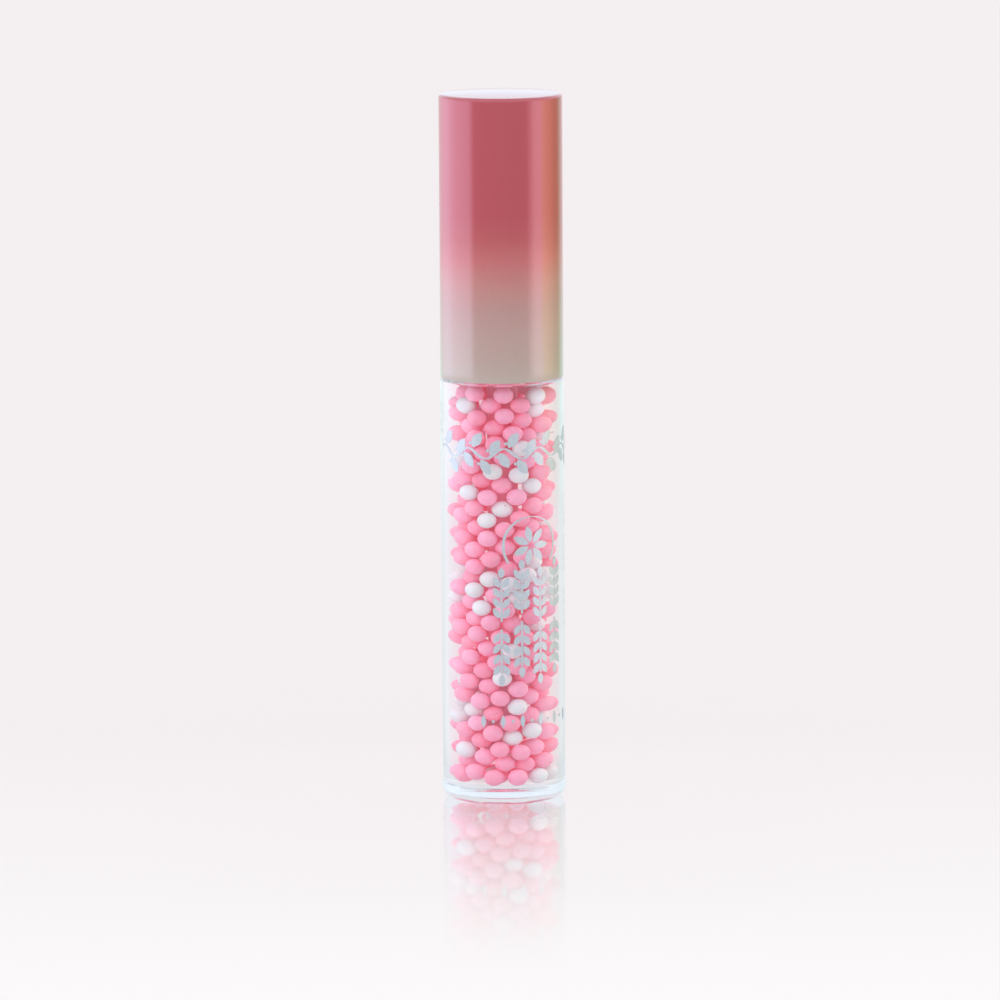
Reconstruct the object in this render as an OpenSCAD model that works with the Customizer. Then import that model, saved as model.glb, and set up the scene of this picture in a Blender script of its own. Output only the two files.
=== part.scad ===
// Lip gloss tube: a thick-walled clear bottle filled with beads in clear gel,
// closed by a tall screw cap that carries a doe-foot wand.
// The origin is the centre of the bottle's foot, +Z runs up the tube's axis.

/* [Overall] */
// Outer diameter of the bottle and the cap
tube_d = 18.6; // [17.6:0.1:24]
// Height of the bottle from its foot to its shoulder
barrel_h = 64; // [48:0.25:80]
// Length of the cap shell
cap_len = 43; // [34:0.25:54]
// Gap between the shoulder and the cap's rim when closed
rim_gap = 0.25; // [0.1:0.05:0.6]

/* [Bottle] */
// Diameter of the bore that holds the gloss
bore_d = 11; // [10:0.1:11.2]
// Thickness of the solid base
base_t = 2.4; // [1.6:0.1:5]
// Radius of the rounded lower edge
foot_round = 1.5; // [0.4:0.1:2]
// Radius of the shoulder's edge
shoulder_round = 0.3; // [0.1:0.1:0.8]
// Radius between the bore's wall and its floor
floor_round = 1; // [0.3:0.1:1.1]
// Diameter of the gate dimple under the base
dimple_d = 3; // [1:0.2:5]
// Depth of the gate dimple
dimple_depth = 0.4; // [0.2:0.1:0.8]

/* [Neck and thread] */
// Wall of the neck under the thread
neck_wall = 0.9; // [0.8:0.1:1]
// Height of the neck above the shoulder
neck_h = 11.5; // [10.5:0.5:15]
// Height of the thread above the neck's wall
thread_depth = 0.75; // [0.5:0.05:0.8]
// Rise of the thread in one turn
thread_lead = 3; // [2.4:0.1:3.4]
// Turns of thread on the neck and in the liner
thread_turns = 2; // [1:0.25:2]
// Width of a thread's tooth at its root
tooth_root = 1.5; // [1:0.1:1.6]
// Width of a thread's tooth at its crest
tooth_crest = 0.8; // [0.4:0.1:0.9]
// Radial clearance between the two threads
thread_clear = 0.2; // [0.1:0.05:0.3]

/* [Cap] */
// Wall of the cap shell
shell_wall = 1; // [0.8:0.1:1.1]
// Thickness of the cap's closed top
top_t = 1.2; // [0.8:0.1:3]
// Radius of the cap's top edge
cap_round = 0.5; // [0.2:0.1:1]
// Height of the crown on the cap's top
crown_h = 0.3; // [0.1:0.1:1]
// Number of crush ribs on the liner
rib_count = 12; // [6:1:16]
// Height of a crush rib
rib_h = 0.25; // [0.15:0.05:0.3]
// Width of a crush rib
rib_w = 0.8; // [0.5:0.1:1.2]
// Thickness of the liner's top plate
plate_t = 1.5; // [1:0.1:2.5]
// Height of the liner's stem socket above its plate
socket_h = 7; // [5:0.5:9]
// Wall of the stem socket
socket_wall = 1.3; // [0.8:0.1:2]

/* [Wiper and washer] */
// Thickness of the wiper's flange
wiper_flange_t = 0.8; // [0.5:0.1:1.2]
// Wall of the wiper's sleeve
wiper_wall = 0.8; // [0.5:0.1:1]
// Length of the wiper's straight sleeve
wiper_sleeve = 7; // [4:0.5:7.5]
// Length of the wiper's cone
wiper_cone = 4; // [3:0.5:4]
// Wall of the wiper's lip
wiper_lip = 0.45; // [0.3:0.05:0.7]
// Gap between the wiper's lip and the applicator
lip_clear = 0.05; // [0.03:0.01:0.2]
// Thickness of the sealing washer
washer_t = 0.8; // [0.5:0.1:1.5]

/* [Wand] */
// Diameter of the stem
stem_d = 3; // [2.8:0.1:3.4]
// Diameter of the stem's flange
stem_flange_d = 12; // [9:0.5:13]
// Thickness of the stem's flange
stem_flange_t = 1; // [0.6:0.1:1.6]
// Diameter of the stem's spigot in the liner's socket
stem_spigot_d = 4.4; // [3.6:0.1:4.8]
// Length of the stem's spigot
stem_spigot = 6; // [4:0.5:8]
// Diameter of the flocked applicator
applicator_d = 3.8; // [3.6:0.1:4]
// Length of the flocked applicator
applicator_len = 14; // [10:0.5:18]
// Thickness of the flocking
flock_t = 0.4; // [0.25:0.05:0.5]
// Tilt of the applicator's flat face from the axis
foot_slant = 17.5; // [12:0.5:22]
// Gap between the applicator's tip and the bore's floor
tip_gap = 3.6; // [3:0.1:6]
// Diameter of the core's spigot in the stem
core_spigot_d = 1.8; // [1.4:0.1:2]
// Length of the core's spigot
core_spigot = 6; // [3:0.5:8]

/* [Filling] */
// Mean diameter of a bead
bead_d = 2.5; // [2.3:0.01:2.6]
// Largest difference of a bead's diameter from the mean
bead_vary = 0.1; // [0:0.01:0.15]
// Share of the beads that are white
white_share = 0.2; // [0:0.01:1]
// Gap between the wiper and the top of the filling
head_gap = 0.4; // [0.2:0.1:8]
// Gap between the applicator and the channel it leaves in the filling
channel_gap = 0.1; // [0.05:0.05:0.3]

/* [Hidden] */
$fn = 96;

fit_gap = 0.02;
bead_gap = 0.03;
tube_r = tube_d / 2;
bore_r = bore_d / 2;
applicator_r = applicator_d / 2;
stem_r = stem_d / 2;

neck_r = bore_r + neck_wall;
neck_crest_r = neck_r + thread_depth;
neck_chamfer = 0.4;
rim_z = barrel_h + neck_h;
thread_z = barrel_h + 3;
thread_ramp = 40;
thread_steps = 30;

wiper_r = bore_r - fit_gap;
wiper_top = rim_z + fit_gap + wiper_flange_t;
wiper_bottom = rim_z - wiper_sleeve - wiper_cone;
lip_r = applicator_r + lip_clear;

washer_z = wiper_top + fit_gap;
flange_z = washer_z + washer_t + fit_gap;
plate_z = flange_z + stem_flange_t + fit_gap;

cap_z = barrel_h + rim_gap;
cap_top = cap_z + cap_len;
shell_bore_r = tube_r - shell_wall;
liner_rib_r = shell_bore_r - fit_gap;
liner_r = liner_rib_r - rib_h;
liner_bore_r = neck_crest_r + thread_clear;
liner_crest_r = neck_r + thread_clear;
liner_z = cap_z + 0.25;
liner_thread_z = thread_z - thread_lead / 2;
socket_r = stem_spigot_d / 2 + fit_gap;
fin_count = 4;
fin_t = 1;

washer_r = liner_bore_r - 0.35;
washer_bore_r = stem_r + 0.85;
collar_r = washer_bore_r - 0.1;
collar_taper = 1.2;

tip_z = base_t + tip_gap;
applicator_top = tip_z + applicator_len;
fill_top = wiper_bottom - head_gap;
channel_r = applicator_r + channel_gap;

// Points of an arc about [x, y] from angle a to angle b
function arc(x, y, r, a, b, n = 6) =
    [for (i = [0:n]) [x + r * cos(a + (b - a) * i / n), y + r * sin(a + (b - a) * i / n)]];

// One helical thread: a trapezoid tooth from radius root_r to crest_r, with its ends ramped
module thread(root_r, crest_r, z0, turns) {
    bury = crest_r > root_r ? -0.1 : 0.1;
    count = round(turns * thread_steps);
    function rise(i) = min(1, i * 360 / thread_steps / thread_ramp,
        (count - i) * 360 / thread_steps / thread_ramp);
    function crest(i) = root_r + (crest_r - root_r) * max(0.06, rise(i));
    function ring(i) = let (a = i * 360 / thread_steps, z = z0 + thread_lead * a / 360, c = crest(i))
        [for (p = [[root_r + bury, -tooth_root / 2], [c, -tooth_crest / 2],
                [c, tooth_crest / 2], [root_r + bury, tooth_root / 2]])
            [p[0] * cos(a), p[0] * sin(a), z + p[1]]];
    outward = crest_r > root_r;
    points = [for (i = [0:count]) each ring(i)];
    sides = [for (i = [0:count - 1], j = [0:3]) let (a = 4 * i + j, b = 4 * i + (j + 1) % 4)
        each [[a, b, b + 4], [a, b + 4, a + 4]]];
    first = [[0, 3, 2], [0, 2, 1]];
    last = [for (f = [[0, 1, 2], [0, 2, 3]]) [for (k = f) k + 4 * count]];
    faces = concat(sides, first, last);
    polyhedron(points, outward ? faces : [for (f = faces) [f[2], f[1], f[0]]]);
}

module bottle() {
    outside = concat([[0, 0]],
        arc(tube_r - foot_round, foot_round, foot_round, -90, 0),
        arc(tube_r - shoulder_round, barrel_h - shoulder_round, shoulder_round, 0, 90, 3),
        [[neck_r + neck_chamfer, barrel_h], [neck_r, barrel_h + neck_chamfer],
         [neck_r, rim_z - neck_chamfer], [neck_r - neck_chamfer, rim_z], [0, rim_z]]);
    inside = concat([[0, base_t]],
        arc(bore_r - floor_round, base_t + floor_round, floor_round, -90, 0),
        [[bore_r, rim_z + 1], [0, rim_z + 1]]);
    dimple_r = (dimple_d * dimple_d / 4 + dimple_depth * dimple_depth) / (2 * dimple_depth);
    color([0.9, 0.95, 0.97, 0.35]) difference() {
        union() {
            rotate_extrude() polygon(outside);
            thread(neck_r, neck_crest_r, thread_z, thread_turns);
        }
        rotate_extrude() polygon(inside);
        translate([0, 0, dimple_depth - dimple_r]) sphere(dimple_r);
    }
}

// Beads are dropped one by one between the bore's wall and the applicator's channel:
// each tries places at a few angles and depths, takes the lowest and then settles beside it
bead_seed = 21;
bead_angles = 24;
bead_depths = [0, 0.5, 1];
bead_settles = 2;
bead_near = 44;
bead_max = 480;
bead_room = bore_r - channel_r - 2 * bead_gap - bead_vary;
bead_mean_r = min(bead_d, bead_room) / 2;
bead_sizes = rands(bead_mean_r - bead_vary / 2, bead_mean_r + bead_vary / 2, bead_max, bead_seed);
bead_turns = rands(0, 360, bead_max, bead_seed + 1);
bead_shades = rands(0, 1, bead_max, bead_seed + 2);

function bead_at(a, depth, r) =
    let (outer = bore_r - bead_gap - r, inner = min(outer, channel_r + bead_gap + r),
        reach = outer + (inner - outer) * depth)
    [reach * cos(a), reach * sin(a)];
function apart2(p, b) = (p[0] - b[0]) * (p[0] - b[0]) + (p[1] - b[1]) * (p[1] - b[1]);
function rest_on(p, r, b) = let (s = r + b[3] + bead_gap, d = apart2(p, b))
    d < s * s ? b[2] + sqrt(s * s - d) : 0;
function rest_z(p, r, beads) = max(concat([base_t + r + bead_gap],
    [for (k = [max(0, len(beads) - bead_near):1:len(beads) - 1]) rest_on(p, r, beads[k])]));
function spot(a, depth, r, beads) = [a, depth, rest_z(bead_at(a, depth, r), r, beads)];
function lowest(spots, k = 1, best = 0) =
    k >= len(spots) ? spots[best] : lowest(spots, k + 1, spots[k][2] < spots[best][2] ? k : best);
function settle(s, da, dd, r, beads, rounds) =
    rounds == 0 ? s : settle(lowest([s, for (i = [-1:0.5:1], j = [-1:0.5:1])
        spot(s[0] + i * da, min(1, max(0, s[1] + j * dd)), r, beads)]),
        da / 2, dd / 2, r, beads, rounds - 1);
function drop(i, beads) =
    let (r = bead_sizes[i],
        first = lowest([for (t = [0:bead_angles - 1], depth = bead_depths)
            spot(bead_turns[i] + t * 360 / bead_angles, depth, r, beads)]),
        s = settle(first, 180 / bead_angles, 0.25, r, beads, bead_settles),
        p = bead_at(s[0], s[1], r))
    [p[0], p[1], s[2], r];
function pile(beads = [], i = 0) =
    let (b = drop(i, beads))
    i + 1 >= bead_max || b[2] + b[3] > fill_top ? beads : pile(concat(beads, [b]), i + 1);

// Three beads lie on the floor under the applicator's tip before the rest are dropped
floor_bead_r = bead_mean_r - bead_vary / 2;
floor_beads = [for (k = [0:2]) let (d = (floor_bead_r + bead_gap) / sin(60))
    [d * cos(120 * k), d * sin(120 * k), base_t + floor_bead_r + bead_gap, floor_bead_r]];
all_beads = pile(floor_beads);
function is_white(i) = bead_shades[i] < white_share;

module beads(white) {
    for (i = [0:len(all_beads) - 1])
        if (is_white(i) == white)
            translate([all_beads[i][0], all_beads[i][1], all_beads[i][2]]) sphere(all_beads[i][3]);
}

module beads_pink() {
    color([0.96, 0.55, 0.72]) beads(false);
}

module beads_white() {
    color([0.96, 0.94, 0.95]) beads(true);
}

module gloss() {
    skin = bore_r - fit_gap;
    outline = concat([[0, base_t + fit_gap]],
        arc(bore_r - floor_round, base_t + floor_round, floor_round - fit_gap, -90, 0),
        [[skin, fill_top], [channel_r, fill_top], [channel_r, tip_z - channel_gap],
         [0, tip_z - channel_gap]]);
    color([1, 0.8, 0.88, 0.4]) difference() {
        rotate_extrude() polygon(outline);
        for (b = all_beads) translate([b[0], b[1], b[2]]) sphere(b[3] + bead_gap / 3);
    }
}

module wiper() {
    flange_r = neck_r - neck_chamfer - 0.1;
    sleeve_bottom = rim_z - wiper_sleeve;
    color([0.97, 0.97, 0.95]) rotate_extrude() polygon([
        [wiper_r, rim_z + fit_gap], [flange_r, rim_z + fit_gap], [flange_r, wiper_top],
        [wiper_r - wiper_wall, wiper_top], [wiper_r - wiper_wall, sleeve_bottom],
        [lip_r, wiper_bottom], [lip_r + wiper_lip, wiper_bottom],
        [wiper_r, sleeve_bottom - wiper_wall / 2]]);
}

module washer() {
    color([0.93, 0.93, 0.9]) translate([0, 0, washer_z]) difference() {
        cylinder(h = washer_t, r = washer_r);
        translate([0, 0, -1]) cylinder(h = washer_t + 2, r = washer_bore_r);
    }
}

module cap_shell() {
    crown_r = (pow(tube_r - cap_round, 2) + crown_h * crown_h) / (2 * crown_h);
    crown_a = asin((tube_r - cap_round) / crown_r);
    side_top = cap_top - crown_h - cap_round;
    color([0.85, 0.5, 0.56]) rotate_extrude() polygon(concat(
        [[shell_bore_r, cap_z], [tube_r - 0.1, cap_z], [tube_r, cap_z + 0.1]],
        arc(tube_r - cap_round, side_top, cap_round, 0, 90 - crown_a),
        arc(0, cap_top - crown_r, crown_r, 90 - crown_a, 90),
        [[0, cap_top - top_t], [shell_bore_r, cap_top - top_t]]));
}

// Ribs and fins run out from the axis and end on the radius r
module spokes(count, width, r, z0, z1) {
    for (k = [0:count - 1])
        rotate([0, 0, k * 360 / count]) intersection() {
            translate([0, -width / 2, z0]) cube([r + 1, width, z1 - z0]);
            translate([0, 0, z0]) cylinder(h = z1 - z0, r = r);
        }
}

module cap_liner() {
    plate_top = plate_z + plate_t;
    socket_top = plate_top + socket_h;
    socket_outer = socket_r + socket_wall;
    color([0.95, 0.95, 0.95]) {
        difference() {
            union() {
                translate([0, 0, liner_z]) cylinder(h = plate_top - liner_z, r = liner_r);
                spokes(rib_count, rib_w, liner_rib_r, liner_z + 0.5, plate_top - 0.5);
                translate([0, 0, plate_z]) cylinder(h = socket_top - plate_z, r = socket_outer);
                spokes(fin_count, fin_t, liner_rib_r, plate_top - 0.5, socket_top - 1);
            }
            translate([0, 0, liner_z - 1]) cylinder(h = plate_z - liner_z + 1, r = liner_bore_r);
            translate([0, 0, plate_z - 1]) cylinder(h = stem_spigot + 1 + fit_gap, r = socket_r);
        }
        thread(liner_bore_r, liner_crest_r, liner_thread_z, thread_turns);
    }
}

module stem() {
    collar_bottom = rim_z - 0.6;
    color([0.97, 0.96, 0.97]) difference() {
        union() {
            rotate_extrude() polygon([[0, applicator_top], [stem_r, applicator_top],
                [stem_r, collar_bottom - collar_taper], [collar_r, collar_bottom], [collar_r, flange_z],
                [stem_flange_d / 2, flange_z], [stem_flange_d / 2, flange_z + stem_flange_t],
                [0, flange_z + stem_flange_t]]);
            translate([0, 0, flange_z]) cylinder(h = stem_flange_t + stem_spigot, d = stem_spigot_d);
        }
        translate([0, 0, applicator_top - 1])
            cylinder(h = 1 + core_spigot + fit_gap, r = core_spigot_d / 2 + fit_gap);
    }
}

// The doe-foot's form: a round-ended rod with one long slanted flat, shrunk by inset
module foot_form(inset, top) {
    r = applicator_r - inset;
    waist = 0.25;
    end_r = applicator_r * 0.75;
    low = tip_z + inset;
    face_z = tip_z + 1.4;
    difference() {
        rotate_extrude() polygon(concat([[0, low]],
            arc(r - end_r, low + end_r, end_r, -90, 0),
            [[r, tip_z + applicator_len * 0.7], [r - waist, top], [0, top]]));
        translate([-applicator_r * 0.1, 0, face_z]) rotate([0, foot_slant, 0])
            translate([-inset, -applicator_d, -applicator_len])
                cube([2 * applicator_d, 2 * applicator_d, 3 * applicator_len]);
    }
}

module applicator_core() {
    color([0.9, 0.8, 0.84]) {
        foot_form(flock_t, applicator_top - fit_gap);
        translate([0, 0, applicator_top - 1]) cylinder(h = 1 + core_spigot, d = core_spigot_d);
    }
}

module applicator_flock() {
    color([0.98, 0.9, 0.93]) difference() {
        foot_form(0, applicator_top - 3 * fit_gap);
        foot_form(flock_t - fit_gap / 2, applicator_top + 1);
    }
}

bottle();
beads_pink();
beads_white();
gloss();
wiper();
washer();
cap_shell();
cap_liner();
stem();
applicator_core();
applicator_flock();
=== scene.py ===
"""Lip gloss tube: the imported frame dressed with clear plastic, gel, beads, foil and pearl lacquer.

Lengths are in metres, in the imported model's own frame: +Z up the tube, the foot's centre at the origin.
"""

import math
import random

import bmesh
import bpy
from mathutils import Matrix, Vector, noise


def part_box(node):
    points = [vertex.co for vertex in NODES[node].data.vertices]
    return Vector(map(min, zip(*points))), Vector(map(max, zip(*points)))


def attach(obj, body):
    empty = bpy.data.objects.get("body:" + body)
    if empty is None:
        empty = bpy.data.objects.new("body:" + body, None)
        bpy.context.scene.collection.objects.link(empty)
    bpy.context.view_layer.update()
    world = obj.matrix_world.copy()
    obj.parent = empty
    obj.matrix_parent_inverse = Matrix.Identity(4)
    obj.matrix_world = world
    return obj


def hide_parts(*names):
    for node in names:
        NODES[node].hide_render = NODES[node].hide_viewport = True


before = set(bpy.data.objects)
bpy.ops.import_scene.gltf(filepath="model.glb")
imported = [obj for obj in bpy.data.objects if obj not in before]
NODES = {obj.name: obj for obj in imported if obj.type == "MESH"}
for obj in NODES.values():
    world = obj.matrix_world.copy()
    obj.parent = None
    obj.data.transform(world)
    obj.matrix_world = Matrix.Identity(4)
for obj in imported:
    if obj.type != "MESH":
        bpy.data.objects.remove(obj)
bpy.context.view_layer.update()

MM = 0.001

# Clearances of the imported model
WET_GAP = 0.02 * MM
RIM_GAP = 0.25 * MM

# Sizes read from the frame
BOTTLE_LOW, BOTTLE_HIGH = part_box("bottle")
CAP_LOW, CAP_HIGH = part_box("cap_shell")
GLOSS_LOW, GLOSS_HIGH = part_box("gloss")
TUBE_R = BOTTLE_HIGH.x
RIM_Z = BOTTLE_HIGH.z
BORE_R = GLOSS_HIGH.x + WET_GAP
FLOOR_Z = GLOSS_LOW.z - WET_GAP
FILL_Z = GLOSS_HIGH.z
SHOULDER_Z = CAP_LOW.z - RIM_GAP

# Sizes of the bottle's and the cap's details
FOOT_ROUND = 1.5 * MM
SHOULDER_ROUND = 0.3 * MM
FLOOR_ROUND = 1.0 * MM
DIMPLE_R = 1.5 * MM
DIMPLE_DEPTH = 0.4 * MM
NECK_R = BORE_R + 0.9 * MM
NECK_EDGE = 0.4 * MM
NECK_END = 0.6 * MM
MOUTH_ROUND = 0.1 * MM
MENISCUS = 0.25 * MM
THREAD_DEPTH = 0.75 * MM
THREAD_LEAD = 3.0 * MM
THREAD_TURNS = 2
THREAD_RUN_IN = 1 / 9
THREAD_Z = SHOULDER_Z + 3.0 * MM
TOOTH_ROOT = 1.5 * MM
TOOTH_CREST = 0.8 * MM
SHELL_WALL = 1.0 * MM
SHELL_TOP = 1.2 * MM
CEILING_EDGE = 0.4 * MM
RIM_ROUND = 0.12 * MM
RIM_CHAMFER = 0.15 * MM
CAP_ROUND = 0.5 * MM
CAP_CROWN = 0.3 * MM

SEGMENTS = 224


# ---------- meshes ----------

def new_object(name, verts, faces, smooth_angle=35):
    mesh = bpy.data.meshes.new(name)
    mesh.from_pydata(verts, [], faces)
    mesh.validate()
    mesh.update()
    mesh.polygons.foreach_set("use_smooth", [True] * len(mesh.polygons))
    mesh.set_sharp_from_angle(angle=math.radians(smooth_angle))
    obj = bpy.data.objects.new(name, mesh)
    bpy.context.scene.collection.objects.link(obj)
    return obj


def arc(x, z, r, start, end, steps=8):
    """Points of an arc about (x, z), with its angles in degrees."""
    angles = [math.radians(start + (end - start) * i / steps) for i in range(steps + 1)]
    return [(x + r * math.cos(a), z + r * math.sin(a)) for a in angles]


def line(a, b, steps):
    """Points from a to b, with both ends."""
    return [(a[0] + (b[0] - a[0]) * i / steps, a[1] + (b[1] - a[1]) * i / steps)
            for i in range(steps + 1)]


def lathe(name, profile, radius=None):
    """Turns an open or closed profile of (r, z) about the axis. radius(r, z, angle) may add relief."""
    verts, faces, rows = [], [], []
    for r, z in profile:
        if r < 1e-7:
            rows.append([len(verts)])
            verts.append((0, 0, z))
            continue
        rows.append(range(len(verts), len(verts) + SEGMENTS))
        for k in range(SEGMENTS):
            a = 2 * math.pi * k / SEGMENTS
            rr = radius(r, z, a) if radius else r
            verts.append((rr * math.cos(a), rr * math.sin(a), z))
    for low, high in zip(rows, rows[1:]):
        for k in range(SEGMENTS):
            n = (k + 1) % SEGMENTS
            if len(low) == 1 and len(high) > 1:
                faces.append((low[0], high[n], high[k]))
            elif len(high) == 1 and len(low) > 1:
                faces.append((low[k], low[n], high[0]))
            elif len(low) > 1:
                faces.append((low[k], low[n], high[n], high[k]))
    return new_object(name, verts, faces)


def thread_height(z, angle):
    """Height of the helical tooth over the neck at this place, from 0 to THREAD_DEPTH."""
    best = 0.0
    for turn in range(THREAD_TURNS):
        along = turn + angle / (2 * math.pi)
        off = abs(z - THREAD_Z - THREAD_LEAD * along)
        flank = (TOOTH_ROOT / 2 - off) / ((TOOTH_ROOT - TOOTH_CREST) / 2)
        run_in = min(1.0, along / THREAD_RUN_IN, (THREAD_TURNS - along) / THREAD_RUN_IN)
        best = max(best, min(1.0, max(0.0, flank)) * run_in)
    return best * THREAD_DEPTH


def join(name, objects):
    """Joins objects into the first, and gives it a name."""
    target = bmesh.new()
    for o in objects:
        target.from_mesh(o.data)
    keep = objects[0]
    target.to_mesh(keep.data)
    target.free()
    for o in objects[1:]:
        bpy.data.objects.remove(o)
    keep.name = name
    return keep


# ---------- material nodes ----------

def material(name):
    """A new node material with its output, ready to be fed."""
    mat = bpy.data.materials.new(name)
    mat.use_nodes = True
    nodes = mat.node_tree.nodes
    nodes.clear()
    return mat, nodes, mat.node_tree.links, nodes.new("ShaderNodeOutputMaterial")


def add(nodes, kind, **values):
    """Adds a node, and sets its properties or its inputs' values by name."""
    node = nodes.new(kind)
    for key, value in values.items():
        label = key.replace("_", " ")
        match = [s for s in node.inputs if s.name.lower() == label]
        if match:
            match[0].default_value = value
        else:
            setattr(node, key, value)
    return node


def ramp(nodes, links, stops, source):
    """A colour ramp with stops of (place, colour), fed by source."""
    node = nodes.new("ShaderNodeValToRGB")
    node.color_ramp.interpolation = "LINEAR"
    elements = node.color_ramp.elements
    while len(elements) < len(stops):
        elements.new(0.5)
    for element, (place, colour) in zip(elements, stops):
        element.position = place
        element.color = (*colour, 1)
    links.new(source, node.inputs["Fac"])
    return node


def math_node(nodes, links, operation, *values, clamp=False):
    """The result of a maths node whose inputs are numbers or other nodes' results."""
    node = nodes.new("ShaderNodeMath")
    node.operation = operation
    node.use_clamp = clamp
    for socket, value in zip(node.inputs, values):
        if isinstance(value, (int, float)):
            socket.default_value = value
        else:
            links.new(value, socket)
    return node.outputs[0]


def span(nodes, links, source, start, end, low=0.0, high=1.0, interpolation="SMOOTHSTEP"):
    """A value that goes from low to high while the source goes from start to end."""
    node = nodes.new("ShaderNodeMapRange")
    node.interpolation_type = interpolation
    for socket, value in (("From Min", start), ("From Max", end), ("To Min", low), ("To Max", high)):
        node.inputs[socket].default_value = value
    links.new(source, node.inputs["Value"])
    return node.outputs[0]


def mix_shaders(nodes, links, share, first, second):
    """A mix of two shaders, with this share of the second."""
    mix = nodes.new("ShaderNodeMixShader")
    if isinstance(share, float):
        mix.inputs[0].default_value = share
    else:
        links.new(share, mix.inputs[0])
    links.new(first.outputs[0], mix.inputs[1])
    links.new(second.outputs[0], mix.inputs[2])
    return mix


def bump(nodes, links, height, distance, strength=1.0):
    node = nodes.new("ShaderNodeBump")
    node.inputs["Strength"].default_value = strength
    node.inputs["Distance"].default_value = distance
    links.new(height, node.inputs["Height"])
    return node.outputs["Normal"]


def object_coords(nodes):
    return nodes.new("ShaderNodeTexCoord").outputs["Object"]


def object_axis(nodes, links, axis):
    """One of the object coordinates: X, Y or Z."""
    split = nodes.new("ShaderNodeSeparateXYZ")
    links.new(object_coords(nodes), split.inputs[0])
    return split.outputs[axis]


def fine_noise(nodes, links, scale, detail=3.0):
    node = add(nodes, "ShaderNodeTexNoise", scale=scale, detail=detail)
    links.new(object_coords(nodes), node.inputs["Vector"])
    return node.outputs["Fac"]


# ---------- looks ----------

# Linear colours of the cap's fade, the beads, the beads' painted glow and the gel
CAP_FADE = [(0.0, (0.475, 0.385, 0.345)), (0.07, (0.475, 0.343, 0.312)), (0.165, (0.475, 0.312, 0.285)),
            (0.244, (0.47, 0.272, 0.256)), (0.325, (0.507, 0.226, 0.214)), (0.405, (0.524, 0.149, 0.154)),
            (0.485, (0.473, 0.097, 0.11)), (0.57, (0.455, 0.074, 0.097))]
FADE_SHIFT = 2.0 * MM
FADE_DRIFT = 3.0 * MM
PINK_PALE = (0.84, 0.46, 0.625)
PINK_DEEP = (0.84, 0.33, 0.45)
# The bead glow colours and strength below are painted glow: emission that stands for light scattered between
# the beads
PINK_PAINTED_GLOW = (1.0, 0.26, 0.36, 1)
WHITE_PALE = (0.8, 0.82, 0.85)
WHITE_DEEP = (0.74, 0.74, 0.76)
WHITE_PAINTED_GLOW = (0.35, 0.32, 0.34, 1)
BEAD_PAINTED_GLOW = 0.14
GEL_TINT = (1.0, 0.55, 0.6, 1)
GEL_DENSITY = 60.0
LEAVING_TINT = (0.86, 0.89, 0.93, 1)
TRAPPED_DEPTH = 1.5


def glass_like(name, colour, ior, roughness, ripple_scale, ripple):
    """Clear plastic or gel. Lamps and soft light pass straight through, so what is inside is well lit.

    Light that has been reflected inside twice leaves, as it would through the real wall's small flaws.
    """
    mat, nodes, links, out = material(name)
    shader = add(nodes, "ShaderNodeBsdfPrincipled", base_color=(*colour, 1), roughness=roughness,
                 ior=ior, transmission_weight=1.0)
    ripples = fine_noise(nodes, links, ripple_scale, detail=1.0)
    links.new(bump(nodes, links, ripples, ripple), shader.inputs["Normal"])
    path = nodes.new("ShaderNodeLightPath")
    trapped = math_node(nodes, links, "GREATER_THAN", path.outputs["Glossy Depth"], TRAPPED_DEPTH)
    leaving = add(nodes, "ShaderNodeBsdfTransparent", color=LEAVING_TINT)
    inner = mix_shaders(nodes, links, trapped, shader, leaving)
    soft = math_node(nodes, links, "MAXIMUM", path.outputs["Is Shadow Ray"], path.outputs["Is Diffuse Ray"])
    through = add(nodes, "ShaderNodeBsdfTransparent", color=(*colour, 1))
    mix = mix_shaders(nodes, links, soft, inner, through)
    links.new(mix.outputs[0], out.inputs["Surface"])
    return mat


def wetted(name):
    """A face where plastic meets gel of nearly the same index: light crosses it unbent."""
    mat, nodes, links, out = material(name)
    through = add(nodes, "ShaderNodeBsdfTransparent", color=(1, 1, 1, 1))
    links.new(through.outputs[0], out.inputs["Surface"])
    return mat


def tint_inside(mat):
    """The gel's pink tint, which deepens with the length of gel that the light crosses."""
    nodes, links = mat.node_tree.nodes, mat.node_tree.links
    absorb = add(nodes, "ShaderNodeVolumeAbsorption", color=GEL_TINT, density=GEL_DENSITY)
    links.new(absorb.outputs[0], nodes["Material Output"].inputs["Volume"])
    return mat


def bead_material(name, pale, deep, painted_glow):
    """Soft pigmented gel beads: each has its own shade, with faint mottling.

    A weak painted glow (emission) stands for the light that crowded beads scatter among themselves.
    """
    mat, nodes, links, out = material(name)
    shade = nodes.new("ShaderNodeAttribute")
    shade.attribute_name = "shade"
    mottle = fine_noise(nodes, links, scale=1400.0, detail=2.0)
    level = math_node(nodes, links, "MULTIPLY_ADD", mottle, 0.35, -0.17)
    total = math_node(nodes, links, "ADD", level, shade.outputs["Fac"], clamp=True)
    colour = ramp(nodes, links, [(0.0, deep), (1.0, pale)], total)
    # The emission is a painted glow for the light scattered between the beads
    shader = add(nodes, "ShaderNodeBsdfPrincipled", roughness=0.5, ior=1.38, subsurface_weight=0.9,
                 subsurface_scale=0.9 * MM, emission_color=painted_glow, emission_strength=BEAD_PAINTED_GLOW)
    shader.inputs["Subsurface Radius"].default_value = (1.0, 0.6, 0.75)
    links.new(colour.outputs[0], shader.inputs["Base Color"])
    links.new(bump(nodes, links, mottle, 0.02 * MM, strength=0.5), shader.inputs["Normal"])
    links.new(shader.outputs[0], out.inputs["Surface"])
    return mat


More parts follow.
